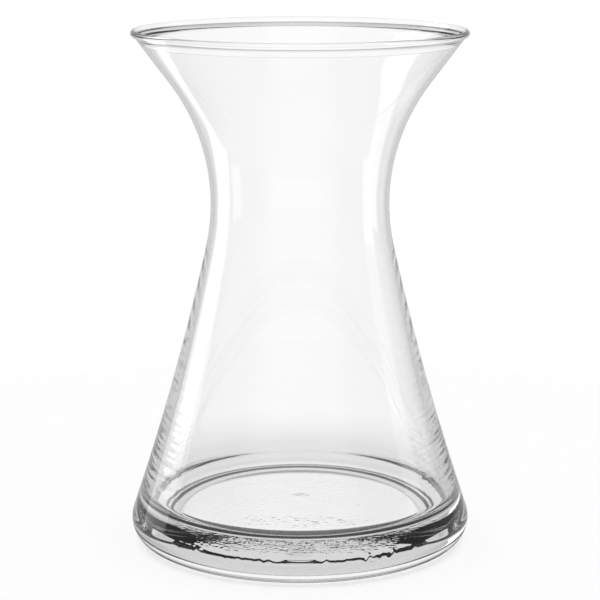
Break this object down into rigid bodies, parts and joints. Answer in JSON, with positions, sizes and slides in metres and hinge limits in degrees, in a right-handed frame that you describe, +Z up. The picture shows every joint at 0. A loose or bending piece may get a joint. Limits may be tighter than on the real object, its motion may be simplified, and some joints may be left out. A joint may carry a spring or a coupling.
{
  "type": "hyacinth forcing vase",
  "caption": "Clear glass forcing vase with a flared mouth that seats a bulb, a narrow waist, a wide water chamber and a thick foot.",
  "frame": {"origin": "on the table, under the centre of the foot", "axes": "+Z up along the axis of revolution, +X and +Y alike because the vase is round"},
  "size_m": [0.1322, 0.1322, 0.2],
  "materials": {
    "glass": "clear, smooth and fire polished, with a faintly crackled chill skin under the foot"
  },
  "bodies": {
    "root": {"vase_body": "glass"}
  },
  "joints": []
}
